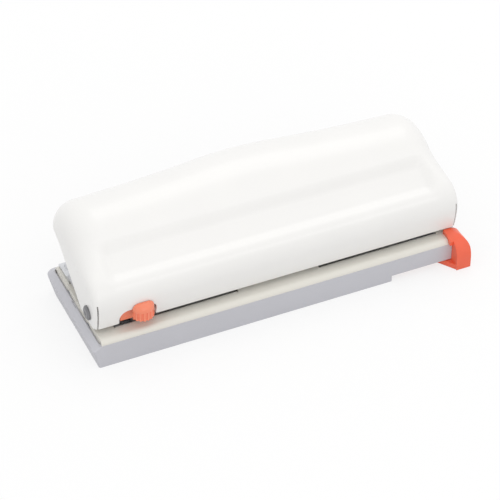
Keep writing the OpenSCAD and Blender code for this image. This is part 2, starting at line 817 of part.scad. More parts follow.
// The grip: an upright round with a domed top, flat at the back and grooved round its lower half
module knob_grip() {
    dome_r = 3;
    groove_r = 0.5;
    groove_step = 20;
    groove_share = 0.55;
    z0 = knob_z - knob_h / 2;
    front_y = knob_axis_y - knob_r - 1;
    difference() {
        intersection() {
            translate([0, knob_axis_y, z0]) rotate_extrude() intersection() {
                square([knob_r, knob_h]);
                union() {
                    square([knob_r, knob_h - dome_r]);
                    square([knob_r - dome_r, knob_h]);
                    translate([knob_r - dome_r, knob_h - dome_r]) circle(dome_r);
                }
            }
            translate([-knob_r, front_y, z0 - 1]) cube([2 * knob_r, knob_back - front_y, knob_h + 2]);
        }
        for (k = [0:knob_grooves - 1]) {
            a = groove_step * (k - (knob_grooves - 1) / 2);
            translate([knob_r * sin(a), knob_axis_y - knob_r * cos(a), z0 - 1])
                cylinder(r = groove_r, h = groove_share * knob_h + 1);
        }
    }
}

module selector_knob() {
    plate_x0 = -(knob_x + travel + 0.3);
    plate_x1 = -(knob_x - stem_w - 2);
    plate_z1 = 23;
    color(orange) place() difference() {
        union() {
            translate([-knob_x, 0, 0]) knob_grip();
            translate([-knob_x, knob_back - 1, stem_z0])
                cube([stem_w, plate_y - knob_back + 1 + eps, stem_z1 - stem_z0]);
            translate([plate_x0, plate_y, strap_z])
                cube([plate_x1 - plate_x0, plate_t, plate_z1 - strap_z]);
            translate([-strap_x[0], plate_y, strap_z])
                cube([strap_x[0] - strap_x[1], guide_front - plate_y, strap_t]);
            translate([-strap_x[0], guide_front - strap_t, strap_z])
                cube([strap_x[0] - strap_x[1], strap_t, guide_top - strap_z - 0.4]);
        }
        for (p = selector_screw_places())
            translate([-p[0], guide_front - 2 * strap_t, p[1]]) rotate([-90, 0, 0])
                cylinder(r = screw_r + run, h = 3 * strap_t);
    }
}

module selector_screws() {
    head_r = 1.5;
    head_t = 1;
    color(dark_steel) place() for (p = selector_screw_places())
        translate([-p[0], guide_front - strap_t, p[1]]) rotate([-90, 0, 0]) {
            translate([0, 0, -head_t]) cylinder(r = head_r, h = head_t);
            translate([0, 0, -eps]) cylinder(r = screw_r, h = strap_screw_len);
        }
}

// Punch pins and springs, numbered from the left end

function pin_place(i) = i < 3 ? -pin_x[2 - i] : pin_x[i - 3];

module punch_pin(i) {
    bite = 1;
    hollow_r = 4;
    color(steel) place() translate([pin_place(i), pin_y, 0]) difference() {
        rotate_extrude()
            polygon([[0, pin_tip], [pin_r, pin_tip], [pin_r, pin_top - pin_head_t],
                [pin_head_r, pin_top - pin_head_t], [pin_head_r, pin_top - 0.5],
                [pin_head_r - 0.5, pin_top], [0, pin_top]]);
        rod_x(0, pin_tip + bite - hollow_r, hollow_r, -2 * pin_r, 2 * pin_r);
    }
}

module punch_pin_1() {
    punch_pin(0);
}

module punch_pin_2() {
    punch_pin(1);
}

module punch_pin_3() {
    punch_pin(2);
}

module punch_pin_4() {
    punch_pin(3);
}

module punch_pin_5() {
    punch_pin(4);
}

module punch_pin_6() {
    punch_pin(5);
}

// The wire's centre line: a straight end, the turns, and a straight end
rings_per_turn = 8;
coil_z0 = spring_z0 + 1.5 * wire_d;
coil_z1 = spring_z1 - 1.5 * wire_d;
coil_n = spring_turns * rings_per_turn;
spring_path = concat([[spring_r, 0, spring_z0]],
    [for (k = [0:coil_n]) let (a = 360 * k / rings_per_turn)
        [spring_r * cos(a), spring_r * sin(a), coil_z0 + (coil_z1 - coil_z0) * k / coil_n]],
    [[spring_r, 0, spring_z1]]);

function unit(v) = v / norm(v);
function path_dir(p, i) = i == 0 || i == len(p) - 1 ? [0, 0, 1]
    : unit(unit(p[i + 1] - p[i]) + unit(p[i] - p[i - 1]));

// A six-sided tube along a path that winds round the Z axis
module wound_tube(path, r) {
    sides = 6;
    n = len(path);
    points = [for (i = [0:n - 1]) let (
        d = path_dir(path, i),
        radial = unit([path[i][0], path[i][1], 0]),
        u = unit(radial - (radial * d) * d),
        v = cross(d, u))
        for (k = [0:sides - 1]) path[i] + r * (cos(360 * k / sides) * u + sin(360 * k / sides) * v)];
    wall = [for (i = [0:n - 2]) for (k = [0:sides - 1]) let (j = (k + 1) % sides)
        each [[i * sides + k, (i + 1) * sides + k, i * sides + j],
            [i * sides + j, (i + 1) * sides + k, (i + 1) * sides + j]]];
    start_cap = [for (k = [1:sides - 2]) [0, k, k + 1]];
    end_cap = [for (k = [1:sides - 2]) [(n - 1) * sides, (n - 1) * sides + k + 1, (n - 1) * sides + k]];
    polyhedron(points, concat(start_cap, wall, end_cap), convexity = 10);
}

spring_gap = min([for (i = [1:coil_n + 1]) for (j = [i + rings_per_turn - 2:1:coil_n + 1])
    norm(spring_path[i] - spring_path[j])]) - wire_d;
echo(spring_least_gap = spring_gap);
// What is left between the turns, taken together, when the lever is right down
echo(spring_room = coil_z1 - coil_z0 - stroke - spring_turns * wire_d);

module pin_spring(i) {
    color(dark_steel) place() translate([pin_place(i), pin_y, 0]) wound_tube(spring_path, wire_d / 2);
}

module pin_spring_1() {
    pin_spring(0);
}

module pin_spring_2() {
    pin_spring(1);
}

module pin_spring_3() {
    pin_spring(2);
}

module pin_spring_4() {
    pin_spring(3);
}

module pin_spring_5() {
    pin_spring(4);
}

module pin_spring_6() {
    pin_spring(5);
}

// Paper guide: a hooked end that wraps the front of the base, on a tongue that slides under the tray

guide_arm_top = lip_z - 0.6;
guide_arm_y = lip_y + 0.8;

// The hook in section: it follows the base's front edge inside and is rounded outside
module guide_section() {
    back_y = -guide_gap;
    bend_r = deck_bend + base_front + guide_gap;
    flat_z = 6;
    front_r = guide_arm_top - flat_z;
    difference() {
        union() {
            translate([-guide_reach, tongue_z]) square([guide_reach, flat_z - tongue_z + eps]);
            intersection() {
                translate([-guide_reach, flat_z]) square([guide_arm_y + guide_reach, front_r]);
                union() {
                    translate([-guide_reach + front_r, flat_z]) circle(front_r);
                    translate([-guide_reach + front_r, flat_z])
                        square([guide_arm_y + guide_reach - front_r, front_r]);
                }
            }
        }
        translate([back_y, tongue_z + tongue_t])
            square([guide_arm_y + 2, deck_top - bend_r + guide_gap - tongue_z - tongue_t]);
        translate([back_y + bend_r, deck_top + guide_gap - bend_r]) circle(bend_r);
        translate([back_y + bend_r, tongue_z + tongue_t])
            square([guide_arm_y + 2, deck_top + guide_gap - tongue_z - tongue_t]);
    }
}

module paper_guide() {
    round_r = 6;
    hook_len = guide_reach + guide_arm_y + 2;
    tongue_shoulder = 5.7;
    color(orange) place() {
        difference() {
            union() {
                along_x(guide_x0, guide_x1) guide_section();
                intersection() {
                    along_x(guide_x0 - arm_shift, guide_x0 + eps) guide_section();
                    translate([guide_x0 - 2 * arm_shift, -1.5, deck_top - 2])
                        cube([3 * arm_shift, guide_arm_y + 5, guide_arm_top]);
                }
            }
            translate([guide_x1 - round_r, -guide_reach - 1, guide_arm_top - round_r])
                rotate([-90, 0, 0]) difference() {
                translate([0, -round_r - 1, 0]) cube([round_r + 1, round_r + 1, hook_len]);
                translate([0, 0, -1]) cylinder(r = round_r, h = hook_len + 2);
            }
        }
        translate([0, 0, tongue_z]) linear_extrude(tongue_t)
            polygon([[guide_x0, -guide_reach], [guide_x1, -guide_reach], [guide_x1, tongue_back],
                [guide_x0 - tongue_len, tongue_back], [guide_x0 - tongue_len, tongue_front],
                [guide_x0 - tongue_shoulder, tongue_front], [guide_x0, -guide_reach + 0.8]]);
    }
}

chip_tray();
base_plate();
bracket_left();
bracket_right();
bracket_rivets();
guide_rod_front();
guide_rod_back();
rod_clips();
pivot_pin_left();
pivot_pin_right();
pivot_clips();
pinion_stud();
pinion_clip();
handle_shell();
press_frame();
punch_head_left();
rack_left();
rack_screws_left();
selector_knob();
selector_screws();
punch_head_right();
rack_right();
rack_screws_right();
pinion();
punch_pin_1();
punch_pin_2();
punch_pin_3();
punch_pin_4();
punch_pin_5();
punch_pin_6();
pin_spring_1();
pin_spring_2();
pin_spring_3();
pin_spring_4();
pin_spring_5();
pin_spring_6();
paper_guide();
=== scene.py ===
"""Looks of the adjustable hole punch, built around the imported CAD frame."""

import json
import math

import bmesh
import bpy
import numpy as np
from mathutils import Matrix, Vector


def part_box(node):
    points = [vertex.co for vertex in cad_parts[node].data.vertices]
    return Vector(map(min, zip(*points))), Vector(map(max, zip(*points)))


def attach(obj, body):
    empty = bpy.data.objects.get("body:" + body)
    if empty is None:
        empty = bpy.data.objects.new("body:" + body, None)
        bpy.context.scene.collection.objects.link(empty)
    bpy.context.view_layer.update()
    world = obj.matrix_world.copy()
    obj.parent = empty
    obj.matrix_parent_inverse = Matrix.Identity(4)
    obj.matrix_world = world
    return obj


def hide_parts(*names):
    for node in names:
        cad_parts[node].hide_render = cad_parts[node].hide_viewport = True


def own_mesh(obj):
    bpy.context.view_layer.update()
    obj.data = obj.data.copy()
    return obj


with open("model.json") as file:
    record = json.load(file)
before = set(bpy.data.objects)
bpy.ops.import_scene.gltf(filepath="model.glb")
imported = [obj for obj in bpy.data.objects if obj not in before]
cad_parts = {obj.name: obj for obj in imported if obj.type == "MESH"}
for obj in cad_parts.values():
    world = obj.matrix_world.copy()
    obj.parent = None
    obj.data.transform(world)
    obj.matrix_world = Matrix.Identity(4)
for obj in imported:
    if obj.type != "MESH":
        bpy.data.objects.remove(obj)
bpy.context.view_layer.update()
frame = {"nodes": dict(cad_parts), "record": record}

# Sizes in millimetres, as in the part's source. Y is measured from the tray's front face.
MM = 0.001
LENGTH = 185.0
DEPTH = 73.0
HEIGHT = 57.0
GUIDE_REACH = 5.7  # of the paper guide in front of the tray
SKIN = 1.2  # sheet of the handle and the deck
TRAVEL = 9.5  # of a punch head
CUT_PAST = 1.0  # of a cutter beyond the face that it opens

# Side view of the handle
HANDLE_HALF = LENGTH / 2 - 2.86
LIP_Y = 5.16
LIP_Z = 17.0
LIP_IN = 0.5  # of the bowed front's lower edge behind LIP_Y
FRONT_R = 57.0
LIP_TILT = math.radians(15)
BROW_TILT = math.radians(5)
SLOPE = math.radians(30.5)
SLOPE_Z = 34.0  # of the slope's plane over the tray's front face
TAIL_R = 12.0
TAIL_Z = 41.0
CREST_FALL = 5.4
CREST_HALF_X = 43.0
END_EDGE = ((46.5, TAIL_Z - 5), (22.0, LIP_Z))  # lower edge of an end plate
FORWARD = (-1, 0)

# Bends at the handle's ends
CORNER_FRONT_R = 2.6
CORNER_BACK_R = 14.3
CORNER_TAIL_R = 11.5
BROW_SHARE = 0.3  # of the bend's growth, reached at the top of the brow

# Recess of the handle. Its heights run up the slope from the brow.
RECESS_DEPTH = 2.8
RECESS_HALF = 82.5
RECESS_SOFT = 7.0  # length of an end wall
RECESS_TOP = 16.5
RECESS_WALL = 6.5
RECESS_LOW = 1.5
RECESS_RIM = -5.2
RIM_SHARE = 0.25
RIM_TURN = 2.5
FLOOR_SHARE = 0.15
DRAWN_THIN = 0.45  # loss of thickness where the sheet is drawn deepest

# Cuts in the handle
PIVOT = (12.8, 22.0)
PIVOT_BORE_R = 2.05
PIVOT_BORE_DEEP = 2.5
KNOB_X = 67.2
STEM_W = 4.0
NOTCH_LEFT = 1.4
NOTCH_RIGHT = 2.6
NOTCH_H = 7.2
NOTCH_LEFT_R = 4.5
NOTCH_RIGHT_R = 2.5
SEAM_W = 0.6
SEAM_H = 14.0
SEAM_IN = 0.15  # from the inner face of the end plate
SEAM_BACK = 0.4  # short of the end of the corner's bend

# Tray and deck
TRAY_HEIGHT = 11.8
INNER_HALF = LENGTH / 2 - 3.3
INNER_BACK = 59.3
RIM_GAP = 0.66
LEDGE_FRONT = 2.7
LEDGE_IN = 0.2
LEDGE_DROP = 0.7
LEDGE_T = 0.6
DECK_TOP = 14.2
WINDOW_FRONT = 7.0
WINDOW_IN = 20.0
WINDOW_OUT = 80.0
WINDOW_R = 0.8
EDGE_R = 1.4

# Springs
WIRE = 0.6
SPRING_TURNS = 5
SPRING_DEAD = 1.5  # wires between an end face and the first turn
PINS = 6
LEFT_PINS = 3


def to_row(points):
    """Millimetres from the tray's front face to metres in the row frame."""
    return (np.asarray(points, float) + [0, GUIDE_REACH - DEPTH / 2, 0]) * MM


def smooth_step(t):
    t = np.clip(t, 0, 1)
    return t * t * (3 - 2 * t)


def new_object(name, points, faces):
    mesh = bpy.data.meshes.new(name)
    mesh.from_pydata([tuple(p) for p in points], [], faces)
    mesh.update()
    obj = bpy.data.objects.new(name, mesh)
    bpy.context.scene.collection.objects.link(obj)
    return obj


def smooth_by_angle(obj, degrees=32):
    mesh = obj.data
    mesh.polygons.foreach_set("use_smooth", [True] * len(mesh.polygons))
    mesh.set_sharp_from_angle(angle=math.radians(degrees))


def tidy_normals(obj):
    bm = bmesh.new()
    bm.from_mesh(obj.data)
    bmesh.ops.recalc_face_normals(bm, faces=bm.faces)
    bm.to_mesh(obj.data)
    bm.free()


def arc(cu, cv, r, start, end, steps=12):
    """Points of an arc in a plane, with its angles in degrees."""
    angles = [math.radians(start + (end - start) * k / steps) for k in range(steps + 1)]
    return [(cu + r * math.cos(g), cv + r * math.sin(g)) for g in angles]


def prism(name, outline, low, high, axis):
    """A closed solid from an outline, pulled along X (axis 0), Y (1) or Z (2) from low to high."""
    n = len(outline)
    order = ((2, 0, 1), (0, 2, 1), (0, 1, 2))[axis]
    corners = [(u, v, w) for w in (low, high) for u, v in outline]
    points = [[c[k] for k in order] for c in corners]
    faces = [tuple(range(n)), tuple(range(2 * n - 1, n - 1, -1))]
    faces += [(k, n + k, n + (k + 1) % n, (k + 1) % n) for k in range(n)]
    obj = new_object(name, to_row(points), faces)
    tidy_normals(obj)
    return obj


# Handle shell: a lofted sheet with bent ends, a drawn recess and a bowed front

def rising_r(t):
    return CORNER_FRONT_R + (CORNER_BACK_R - CORNER_FRONT_R) * smooth_step(t)


def on_circle(centre, radius, angle):
    """A point of a circle in the side view and its outward direction. The angle is measured from +Y."""
    n = np.array([math.cos(angle), math.sin(angle)])
    return np.asarray(centre) + radius * n, n


def front_and_brow():
    """The front's centre, and the centre and radius of the brow that runs from the front into the slope."""
    m = math.tan(SLOPE)
    front_mid = (LIP_Y + LIP_IN + FRONT_R * math.cos(LIP_TILT), LIP_Z + FRONT_R * math.sin(LIP_TILT))
    (y1, z1), n1 = on_circle(front_mid, FRONT_R, math.pi + BROW_TILT)
    turn_z = math.sin(BROW_TILT) + math.cos(SLOPE)
    turn_y = math.cos(BROW_TILT) - math.sin(SLOPE)
    brow_r = (SLOPE_Z + m * y1 - z1) / (turn_z - m * turn_y)
    return front_mid, (y1, z1) - brow_r * n1, brow_r


def crest_arc(tail_y):
    """Centre and radius of the crest, which touches the slope and the full height and meets the tail."""
    m = math.tan(SLOPE)
    a, b = (HEIGHT - SLOPE_Z) / m, (1 / math.cos(SLOPE) - 1) / m
    gy, gz = tail_y - a, TAIL_Z - HEIGHT
    square, linear, constant = b * b, 2 * (gz + TAIL_R - gy * b), gy * gy + gz * gz - TAIL_R * TAIL_R
    crest_r = (-linear - math.sqrt(linear ** 2 - 4 * square * constant)) / (2 * square)
    return (a + b * crest_r, HEIGHT - crest_r), crest_r


def handle_section(front=12, brow=26, slope=64, crest=26, tail=14):
    """Rows of y, z, normal y, normal z, radius of the end bend, share of the crest's fall and slope run."""
    slope_normal = math.pi / 2 + SLOPE
    tail_y = DEPTH - GUIDE_REACH - TAIL_R
    front_mid, brow_mid, brow_r = front_and_brow()
    crest_mid, crest_r = crest_arc(tail_y)
    crest_end = math.atan2(TAIL_Z - crest_mid[1], tail_y - crest_mid[0])
    start, normal = on_circle(brow_mid, brow_r, slope_normal)
    end, normal = on_circle(crest_mid, crest_r, slope_normal)
    run = np.linalg.norm(end - start)
    brow_turn = math.pi + BROW_TILT - slope_normal
    rows = []
    for k in range(front):
        p = on_circle(front_mid, FRONT_R, math.pi + LIP_TILT + k / front * (BROW_TILT - LIP_TILT))[0]
        rows.append((*p, *FORWARD, CORNER_FRONT_R, 0, -2 * brow_r))
    for k in range(brow):
        t = k / brow
        p, n = on_circle(brow_mid, brow_r, slope_normal + (1 - t) * brow_turn)
        n = FORWARD if n[1] < 0 else n
        rows.append((*p, *n, rising_r(BROW_SHARE * t), 0, (t - 1) * brow_r * brow_turn))
    for k in range(slope):
        t = k / slope
        r = rising_r(BROW_SHARE + (1 - BROW_SHARE) * t)
        rows.append((*(start + t * (end - start)), *normal, r, t, t * run))
    for k in range(crest):
        t = k / crest
        p, n = on_circle(crest_mid, crest_r, slope_normal - t * (slope_normal - crest_end))
        r = CORNER_BACK_R + (CORNER_TAIL_R - CORNER_BACK_R) * smooth_step(t)
        rows.append((*p, *n, r, 1, run + t * crest_r))
    for k in range(tail + 1):
        t = k / tail
        p, n = on_circle((tail_y, TAIL_Z), TAIL_R, crest_end * (1 - t))
        rows.append((*p, *n, CORNER_TAIL_R, 1, run + crest_r + t * TAIL_R))
    return np.array(rows)


def handle_columns(bend=14, top=130):
    """Columns of the share of the top's half width, the side and the angle round the bend."""
    quarter = math.pi / 2
    cols = [(-1, -1, quarter * (1 - k / bend)) for k in range(bend)]
    cols += [(math.sin(quarter * (2 * k / top - 1)), 0, 0) for k in range(top + 1)]
    return cols + [(1, 1, quarter * k / bend) for k in range(1, bend + 1)]


def crest_fall(x):
    return CREST_FALL * (1 - 1 / (1 + (abs(x) / CREST_HALF_X) ** 2))


def recess(x, up):
    """Share of the recess's depth: a wall below its upper edge, a hollow floor and a rim on the brow."""
    wall = smooth_step((RECESS_TOP - up) / RECESS_WALL)
    mid_wall = RECESS_TOP - RECESS_WALL / 2
    floor = smooth_step((mid_wall - up) / (mid_wall - RECESS_LOW))
    share = (1 - FLOOR_SHARE) * wall + FLOOR_SHARE * floor
    if up < RECESS_LOW:
        share = RIM_SHARE + (1 - RIM_SHARE) * smooth_step((up - RECESS_RIM) / (RECESS_LOW - RECESS_RIM))
        share *= smooth_step((up - RECESS_RIM) / RIM_TURN + 1)
    return share * smooth_step((RECESS_HALF - abs(x)) / RECESS_SOFT)


def shell_point(row, col, off):
    """A point of the sheet, off millimetres under its outer face. The sheet is thinner where it is drawn."""
    y, z, ny, nz, r, fall_share, up = row
    share, side, angle = col
    n = np.array([ny, nz])
    flat_x = (HANDLE_HALF - r) * share
    x = flat_x + side * r * math.sin(angle)
    fall = crest_fall(x) * fall_share
    drawn = recess(x, up - fall)
    p = np.array([y, z]) - fall * np.array([math.cos(SLOPE), math.sin(SLOPE)]) - RECESS_DEPTH * drawn * n
    if off > 0:
        off -= DRAWN_THIN * drawn
    yz = p - (r - (r - off) * math.cos(angle)) * n
    return (flat_x + side * (r - off) * math.sin(angle), yz[0], yz[1])


def handle_loft():
    """The lofted sheet with its bends, closed by a flat plate at each end."""
    rows, cols = handle_section(), handle_columns()
    n, m = len(rows), len(cols)
    size = n * m
    points = [shell_point(row, c, off) for off in (0, SKIN) for row in rows for c in cols]
    faces = []
    for i in range(n - 1):
        for j in range(m - 1):
            a, b = i * m + j, (i + 1) * m + j
            faces.append((a, a + 1, b + 1, b))
            faces.append((size + a, size + b, size + b + 1, size + a + 1))
    for j in range(m - 1):
        a, b = j, (n - 1) * m + j
        faces.append((a, size + a, size + a + 1, a + 1))
        faces.append((b, b + 1, size + b + 1, size + b))
    for side, column in ((-1, 0), (1, m - 1)):
        rims = []
        for off in (0, SKIN):
            first = len(points)
            points += [(side * (HANDLE_HALF - off), y, z) for y, z in END_EDGE]
            chain = [(size if off else 0) + i * m + column for i in range(n)]
            faces.append(tuple(chain + [first, first + 1]))
            rims.append((chain[-1], first, first + 1, chain[0]))
        faces += [(rims[0][k], rims[0][k + 1], rims[1][k + 1], rims[1][k]) for k in range(3)]
    return new_object("handle_skin", to_row(points), faces)


def notch_outline():
    """Outline of the notch for the knob's stem, over the knob's whole travel."""
    x0 = -(KNOB_X + TRAVEL + NOTCH_LEFT)
    x1 = -(KNOB_X - STEM_W - NOTCH_RIGHT)
    top, bottom = LIP_Z + NOTCH_H, LIP_Z - 2 * CUT_PAST
    left = arc(x0 + NOTCH_LEFT_R, top - NOTCH_LEFT_R, NOTCH_LEFT_R, 180, 90)
    right = arc(x1 - NOTCH_RIGHT_R, top - NOTCH_RIGHT_R, NOTCH_RIGHT_R, 90, 0)
    return [(x0, bottom)] + left + right + [(x1, bottom)]


def seam_cutter(side):
    """The slit between the front and an end plate."""
    mid = side * (HANDLE_HALF - SKIN - SEAM_IN - SEAM_W / 2)
    front, back = LIP_Y - 2 * CUT_PAST, LIP_Y - SEAM_BACK + CORNER_FRONT_R
    low, high = LIP_Z - CUT_PAST, LIP_Z + SEAM_H
    outline = [(front, low), (back, low), (back, high), (front, high)]
    return prism("seam", outline, mid - SEAM_W / 2, mid + SEAM_W / 2, 0)


def bore_cutter(side, count=32):
    """The hole for a pivot pin."""
    ring = arc(*PIVOT, PIVOT_BORE_R, 0, 360 * (count - 1) / count, count - 1)
    ends = sorted((side * (HANDLE_HALF - PIVOT_BORE_DEEP), side * (HANDLE_HALF + CUT_PAST)))
    return prism("bore", ring, *ends, 0)


def cut(obj, cutters):
    """Subtracts the cutters from obj and removes them."""
    for c in cutters:
        mod = obj.modifiers.new("cut", "BOOLEAN")
        mod.object = c
        mod.operation = "DIFFERENCE"
        mod.solver = "EXACT"
    graph = bpy.context.evaluated_depsgraph_get()
    mesh = bpy.data.meshes.new_from_object(obj.evaluated_get(graph))
    obj.modifiers.clear()
    obj.data = mesh
    for c in cutters:
        bpy.data.objects.remove(c)


def build_handle():
    obj = handle_loft()
    tidy_normals(obj)
    cutters = [prism("notch", notch_outline(), LIP_Y - 2 * SKIN, LIP_Y + 2 * SKIN, 1)]
    for side in (-1, 1):
        cutters += [seam_cutter(side), bore_cutter(side)]
    cut(obj, cutters)
    smooth_by_angle(obj, 35)
    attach(obj, "lever")
    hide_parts("handle_shell")
    return obj


# Ledge of the tray: closes the gap round the base plate a little below the rim

def build_ledge():
    out, back = INNER_HALF + LEDGE_IN, INNER_BACK + LEDGE_IN
    inside, inside_back = INNER_HALF - RIM_GAP, INNER_BACK - RIM_GAP
    outline = [(-out, LEDGE_FRONT), (-out, back), (out, back), (out, LEDGE_FRONT), (inside, LEDGE_FRONT),
               (inside, inside_back), (-inside, inside_back), (-inside, LEDGE_FRONT)]
    obj = prism("rim_ledge", outline, TRAY_HEIGHT - LEDGE_DROP - LEDGE_T, TRAY_HEIGHT - LEDGE_DROP, 2)
    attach(obj, "base")
    return obj


# Rolled front edge of each window in the deck

def build_window_edge(name, side):
    mid_z = DECK_TOP - EDGE_R
    outline = arc(WINDOW_FRONT, mid_z, EDGE_R, 90, 0) + arc(WINDOW_FRONT, mid_z, EDGE_R - SKIN, 0, 90)
    ends = sorted((side * (WINDOW_IN + WINDOW_R), side * (WINDOW_OUT - WINDOW_R)))
    obj = prism(name, outline, *ends, 0)
    smooth_by_angle(obj)
    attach(obj, "base")
    return obj


# Springs: the source's coil with a rounder wire

def spring_path(radius, low, high, wire, per_turn=28):
    """Points of a coil round the Z axis, with a short upright end on each face."""
    z0, z1 = low + SPRING_DEAD * wire, high - SPRING_DEAD * wire
    count = SPRING_TURNS * per_turn
    path = [Vector((radius, 0, low))]
    for i in range(count + 1):
        g = 2 * math.pi * i / per_turn
        path.append(Vector((radius * math.cos(g), radius * math.sin(g), z0 + (z1 - z0) * i / count)))
    return path + [Vector((radius, 0, high))]


def wire_points(path, wire, axis, sides):
    """Rings of a round wire along a path round the Z axis, moved to the spring's own axis."""
    points = []
    for i, p in enumerate(path):
        if 0 < i < len(path) - 1:
            d = ((path[i + 1] - p).normalized() + (p - path[i - 1]).normalized()).normalized()
        else:
            d = Vector((0, 0, 1))
        out = Vector((p.x, p.y, 0)).normalized()
        u = (out - out.dot(d) * d).normalized()
        v = d.cross(u)
        for s in range(sides):
            g = 2 * math.pi * s / sides
            points.append(axis + p + wire / 2 * (math.cos(g) * u + math.sin(g) * v))
    return points


def build_spring(k, sides=12):
    low, high = (Vector(v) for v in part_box(f"pin_spring_{k}"))
    wire = WIRE * MM
    radius = (high.x - low.x) / 2 - wire / 2
    axis = Vector(((low.x + high.x) / 2, (low.y + high.y) / 2, 0))
    path = spring_path(radius, low.z, high.z, wire)
    faces = []
    for i in range(len(path) - 1):
        for s in range(sides):
            t = (s + 1) % sides
            faces.append((i * sides + s, i * sides + t, (i + 1) * sides + t, (i + 1) * sides + s))
    last = (len(path) - 1) * sides
    faces += [tuple(range(sides - 1, -1, -1)), tuple(range(last, last + sides))]
    obj = new_object(f"coil_{k}", wire_points(path, wire, axis, sides), faces)
    smooth_by_angle(obj, 50)
    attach(obj, "left_head" if k <= LEFT_PINS else "right_head")
    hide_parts(f"pin_spring_{k}")
    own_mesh(obj)
    return obj


# Materials

RAMP_ENDS = (0.3, 0.7)
ROUGH_SPREAD = 0.15
BUMP_DEPTH = 0.3 * MM
SLOW_DETAIL = 3
FINE_DETAIL = 4


def srgb(r, g, b):
    """A colour given as eight-bit sRGB, in linear light."""
    def one(c):
        c /= 255
        return c / 12.92 if c <= 0.04045 else ((c + 0.055) / 1.055) ** 2.4
    return (one(r), one(g), one(b))


def surface(name, colour, rough, vary=0.03, blotch=40, grain=900, bump=0.03, stretch=(1, 1, 1), **sockets):
    """A procedural finish: slow colour change, grained roughness and a fine bump. Scales are per metre."""
    mat = bpy.data.materials.new(name)
    mat.use_nodes = True
    tree = mat.node_tree
    tree.nodes.clear()
    new, link = tree.nodes.new, tree.links.new
    out = new("ShaderNodeOutputMaterial")
    shader = new("ShaderNodeBsdfPrincipled")
    link(shader.outputs["BSDF"], out.inputs["Surface"])
    coords = new("ShaderNodeTexCoord")
    mapping = new("ShaderNodeMapping")
    mapping.inputs["Scale"].default_value = stretch
    link(coords.outputs["Object"], mapping.inputs["Vector"])
    slow = new("ShaderNodeTexNoise")
    slow.inputs["Scale"].default_value = blotch
    slow.inputs["Detail"].default_value = SLOW_DETAIL
    link(coords.outputs["Object"], slow.inputs["Vector"])
    ramp = new("ShaderNodeValToRGB")
    dark = [c * (1 - vary) for c in colour]
    light = [min(c * (1 + vary), 1) for c in colour]
    for element, position, shade in zip(ramp.color_ramp.elements, RAMP_ENDS, (dark, light)):
        element.position = position
        element.color = (*shade, 1)
    link(slow.outputs["Fac"], ramp.inputs["Fac"])
    link(ramp.outputs["Color"], shader.inputs["Base Color"])
    fine = new("ShaderNodeTexNoise")
    fine.inputs["Scale"].default_value = grain
    fine.inputs["Detail"].default_value = FINE_DETAIL
    link(mapping.outputs["Vector"], fine.inputs["Vector"])
    spread = new("ShaderNodeMapRange")
    spread.inputs["To Min"].default_value = rough * (1 - ROUGH_SPREAD)
    spread.inputs["To Max"].default_value = rough * (1 + ROUGH_SPREAD)
    link(fine.outputs["Fac"], spread.inputs["Value"])
    link(spread.outputs["Result"], shader.inputs["Roughness"])
    relief = new("ShaderNodeBump")
    relief.inputs["Strength"].default_value = bump
    relief.inputs["Distance"].default_value = BUMP_DEPTH
    link(fine.outputs["Fac"], relief.inputs["Height"])
    link(relief.outputs["Normal"], shader.inputs["Normal"])
    for key, value in sockets.items():
        shader.inputs[key.replace("_", " ").title()].default_value = value
    return mat


white_paint = surface("white_paint", srgb(247, 246, 244), 0.32, vary=0.008, grain=1100, bump=0.05,
                      coat_weight=0.25, coat_roughness=0.12)
base_paint = surface("base_paint", srgb(233, 230, 221), 0.34, vary=0.012, grain=1100, bump=0.05,
                     coat_weight=0.2, coat_roughness=0.15)
lavender = surface("lavender_plastic", srgb(203, 203, 209), 0.48, vary=0.015, grain=2600, bump=0.12)
orange = surface("orange_plastic", srgb(247, 107, 76), 0.34, vary=0.03, blotch=90, grain=2200, bump=0.08,
                 subsurface_weight=0.08, subsurface_scale=0.002)
# The knob is the same orange plastic, painted lighter with a stronger coat: a painted highlight for the
# light on its dome
knob_orange_painted_highlight = surface("knob_plastic_painted_highlight", srgb(253, 142, 108), 0.3, vary=0.03, blotch=90, grain=2200, bump=0.06,
                      coat_weight=0.2, coat_roughness=0.2)
plated = surface("plated_steel", (0.62, 0.63, 0.65), 0.3, vary=0.08, blotch=120, grain=700, bump=0.15,
                 stretch=(0.08, 1, 1), metallic=1.0)
dark_steel = surface("dark_steel", (0.22, 0.22, 0.23), 0.36, vary=0.12, blotch=200, grain=900, bump=0.12,
                     metallic=1.0)
cast = surface("cast_metal", (0.66, 0.655, 0.64), 0.52, vary=0.06, blotch=150, grain=1500, bump=0.3,
               metallic=0.15)

FINISH = {"handle_paint": white_paint, "base_paint": base_paint, "tray_plastic": lavender,
          "orange_plastic": orange, "plated_steel": plated, "dark_steel": dark_steel, "cast_metal": cast}
PAINTED_HIGHLIGHT_FINISH = {"selector_knob": knob_orange_painted_highlight}


def dress(obj, mat):
    obj.data.materials.clear()
    obj.data.materials.append(mat)


dress(build_handle(), white_paint)
dress(build_ledge(), lavender)
dress(build_window_edge("window_edge_left", -1), base_paint)
dress(build_window_edge("window_edge_right", 1), base_paint)
for number in range(1, PINS + 1):
    dress(build_spring(number), dark_steel)

# CAD nodes keep their meshes, with their own finish and softened edges in millimetres; the knob's finish is
# the orange plastic made lighter, a painted highlight
EDGE = {"chip_tray": 0.35, "base_plate": 0.2, "paper_guide": 0.4, "selector_knob": 0.2,
        "punch_head_left": 0.3, "punch_head_right": 0.3, "press_frame": 0.2,
        "bracket_left": 0.15, "bracket_right": 0.15}
for entry in frame["record"]["subparts"]:
    node = frame["nodes"][entry["node"]]
    dress(node, PAINTED_HIGHLIGHT_FINISH.get(entry["node"], FINISH[entry["material_slot"]]))
    smooth_by_angle(node, 30)
    if entry["node"] in EDGE:
        bevel = node.modifiers.new("edge", "BEVEL")
        bevel.width = EDGE[entry["node"]] * MM
        bevel.segments = 2
        bevel.limit_method = "ANGLE"
        bevel.angle_limit = math.radians(40)
        bevel.harden_normals = True


# Floor, light and camera

